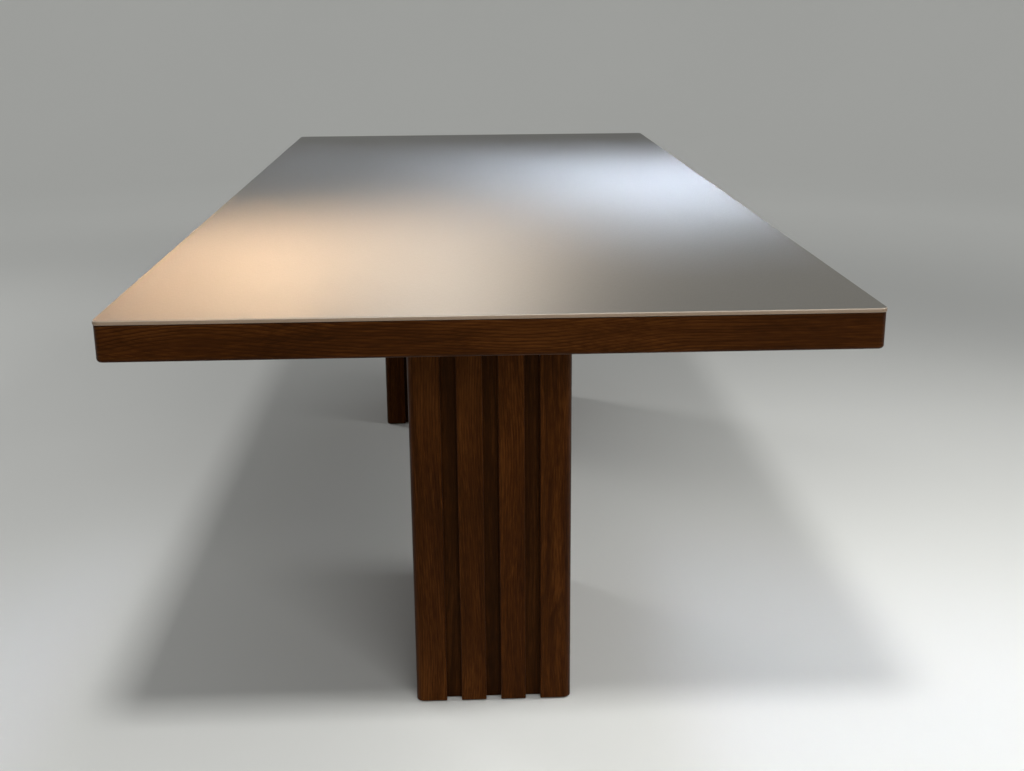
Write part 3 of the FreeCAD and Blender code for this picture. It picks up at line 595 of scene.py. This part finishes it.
def dress_metal():
    """Steel, brass, nylon and silicone for the small parts."""
    plated = {"metallic": 1.0, "relief": 0.1}
    black = skin_material("black_steel", (0.012, 0.012, 0.012), (0.05, 0.05, 0.05), 0.48)
    zinc = skin_material("zinc_steel", (0.52, 0.51, 0.47), (0.68, 0.67, 0.64), 0.34, **plated)
    brass = skin_material("insert_brass", (0.66, 0.45, 0.17), (0.75, 0.56, 0.26), 0.34, **plated)
    nylon = skin_material("glide_nylon", (0.02, 0.02, 0.02), (0.06, 0.06, 0.058), 0.55, grain=900.0)
    silicone = skin_material("silicone", (0.02, 0.02, 0.02), (0.03, 0.03, 0.03), 0.6, wear_and_sheen=0.0)
    dress(silicone, "panel_beads")
    dress(zinc, "stiffener_left", "stiffener_right", "deck_screws", "soffit_screws", "stiffener_screws")
    for pillar in ("near", "far"):
        dress(black, f"{pillar}_head_plate", f"{pillar}_bolts")
        dress(zinc, f"{pillar}_cap_screws", f"{pillar}_glide_screws")
        dress(brass, f"{pillar}_inserts")
        dress(nylon, f"{pillar}_glides")


def smooth_mesh(name, shape, material):
    """Turn a modelled shape into a smooth object in the scene."""
    for face in shape.faces:
        face.smooth = True
    mesh = bpy.data.meshes.new(name)
    shape.to_mesh(mesh)
    shape.free()
    mesh.materials.append(material)
    made = bpy.data.objects.new(name, mesh)
    bpy.context.scene.collection.objects.link(made)
    return made


def soften(shape, edges, radius, steps):
    """Round some edges of a shape."""
    bmesh.ops.bevel(
        shape, geom=edges, offset=radius, segments=steps, profile=0.5, affect="EDGES", material=-1
    )


def make_panel():
    """The stone panel with rounded corners and softly rounded arrises."""
    low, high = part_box("top_panel")
    shape = bmesh.new()
    bmesh.ops.create_cube(shape, size=1.0)
    bmesh.ops.scale(shape, vec=high - low, verts=shape.verts)
    bmesh.ops.translate(shape, vec=(low + high) / 2, verts=shape.verts)
    uprights = [edge for edge in shape.edges if abs(edge.verts[0].co.z - edge.verts[1].co.z) > SAME_HEIGHT]
    soften(shape, uprights, PANEL_CORNER_RADIUS, PANEL_CORNER_STEPS)
    for height, radius, steps in (
        (high.z, PANEL_TOP_ROUND, PANEL_TOP_STEPS),
        (low.z, PANEL_BOTTOM_ROUND, PANEL_BOTTOM_STEPS),
    ):
        rim = [
            edge for edge in shape.edges
            if all(abs(end.co.z - height) < SAME_HEIGHT for end in edge.verts)
        ]
        soften(shape, rim, radius, steps)
    bmesh.ops.remove_doubles(shape, verts=shape.verts, dist=MERGE_DISTANCE)
    bmesh.ops.recalc_face_normals(shape, faces=shape.faces)
    panel = smooth_mesh("stone_top", shape, stone_material())
    evened = panel.modifiers.new("even_shading", "WEIGHTED_NORMAL")
    evened.weight = 100
    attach(panel, "root")
    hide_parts("top_panel")


def floor_material():
    """Pale paint for the floor and its wall, which keep their tone far from the lamps."""
    material, tree, shader, place = start_material("floor_paint")
    shade = noise(tree, place, FLOOR_DRIFT)
    painted = lighten(tree, opaque(FLOOR), spread(tree, shade, 0.3, 0.7, 0.98, 1.02))
    tree.links.new(painted, shader["Base Color"])
    shader["Roughness"].default_value = FLOOR_ROUGHNESS
    shader["Emission Color"].default_value = opaque(FLOOR)
    path = add(tree, "ShaderNodeLightPath").outputs
    seen = maths(tree, "ADD", path["Is Camera Ray"], path["Is Glossy Ray"])
    seen = maths(tree, "ADD", seen, path["Is Transmission Ray"])
    distance = vectors(tree, "LENGTH", vectors(tree, "MULTIPLY", place, (1.0, 1.0, 0.0)))
    glow = spread(tree, distance, GLOW_START, GLOW_END, 0.0, WALL_GLOW, smooth=True)
    tree.links.new(maths(tree, "MULTIPLY", seen, glow), shader["Emission Strength"])
    # From below, the floor opens up and shows the underside of the table
    underside = add(tree, "ShaderNodeNewGeometry").outputs["Backfacing"]
    tree.links.new(maths(tree, "SUBTRACT", 1.0, underside), shader["Alpha"])
    return material


def make_studio():
    """A round pale floor that turns up into a pale wall all round, far from the table."""
    points = [Vector((0.0, 0.0, 0.0)), Vector((FLOOR_RADIUS, 0.0, 0.0))]
    for step in range(1, SWEEP_STEPS + 1):
        angle = math.pi / 2 * step / SWEEP_STEPS
        across = FLOOR_RADIUS + SWEEP_RADIUS * math.sin(angle)
        points.append(Vector((across, 0.0, SWEEP_RADIUS - SWEEP_RADIUS * math.cos(angle))))
    points.append(Vector((FLOOR_RADIUS + SWEEP_RADIUS, 0.0, WALL_TOP)))
    shape = bmesh.new()
    profile = [shape.verts.new(point) for point in points]
    edges = [shape.edges.new(pair) for pair in zip(profile, profile[1:])]
    bmesh.ops.spin(
        shape,
        geom=profile + edges,
        cent=(0, 0, 0),
        axis=(0, 0, 1),
        angle=2 * math.pi,
        steps=STUDIO_STEPS,
        use_merge=True,
    )
    bmesh.ops.remove_doubles(shape, verts=shape.verts, dist=STUDIO_MERGE)
    bmesh.ops.recalc_face_normals(shape, faces=shape.faces)
    # The open bowl counts as turned out when its floor points down, so it is turned to point up
    if min(shape.faces, key=lambda face: face.calc_center_median().z).normal.z < 0.0:
        bmesh.ops.reverse_faces(shape, faces=shape.faces)
    smooth_mesh("studio_floor", shape, floor_material())


def light_studio():
    """Hang the lamps and fill the air with a faint even light."""
    for name, (place, target, (width, height), power, colour, beam) in LAMPS.items():
        lamp = bpy.data.lights.new(name, "AREA")
        lamp.spread = math.radians(beam)
        lamp.shape = "RECTANGLE"
        lamp.size = width
        lamp.size_y = height
        lamp.energy = power
        lamp.color = colour
        holder = bpy.data.objects.new(name, lamp)
        holder.location = place
        holder.rotation_euler = (Vector(target) - Vector(place)).to_track_quat("-Z", "Y").to_euler()
        holder.visible_camera = False
        bpy.context.scene.collection.objects.link(holder)
    air = bpy.data.worlds.new("studio_air")
    bpy.context.scene.world = air
    air.use_nodes = True
    background = air.node_tree.nodes["Background"]
    background.inputs["Color"].default_value = opaque(AIR_COLOUR)
    background.inputs["Strength"].default_value = AIR_STRENGTH


def place_camera():
    """Stand the camera where the photograph was taken from."""
    forward = Vector((
        math.sin(CAMERA_YAW) * math.cos(CAMERA_DROP),
        math.cos(CAMERA_YAW) * math.cos(CAMERA_DROP),
        -math.sin(CAMERA_DROP),
    ))
    level = Vector((math.cos(CAMERA_YAW), -math.sin(CAMERA_YAW), 0.0))
    right = math.cos(CAMERA_ROLL) * level + math.sin(CAMERA_ROLL) * level.cross(forward)
    up = right.cross(forward)
    turn = Matrix((right, up, -forward)).transposed().to_4x4()
    lens = bpy.data.cameras.new("camera")
    lens.sensor_width = SENSOR_WIDTH
    lens.lens = FOCAL_PIXELS * SENSOR_WIDTH / PICTURE_WIDTH
    lens.clip_end = CLIP_END
    camera = bpy.data.objects.new("camera", lens)
    camera.matrix_world = Matrix.Translation(CAMERA_PLACE) @ turn
    bpy.context.scene.collection.objects.link(camera)
    bpy.context.scene.camera = camera


dress_slab()
dress_pillars()
dress_metal()
make_panel()
make_studio()
light_studio()
place_camera()
bpy.context.scene.view_settings.view_transform = "Standard"
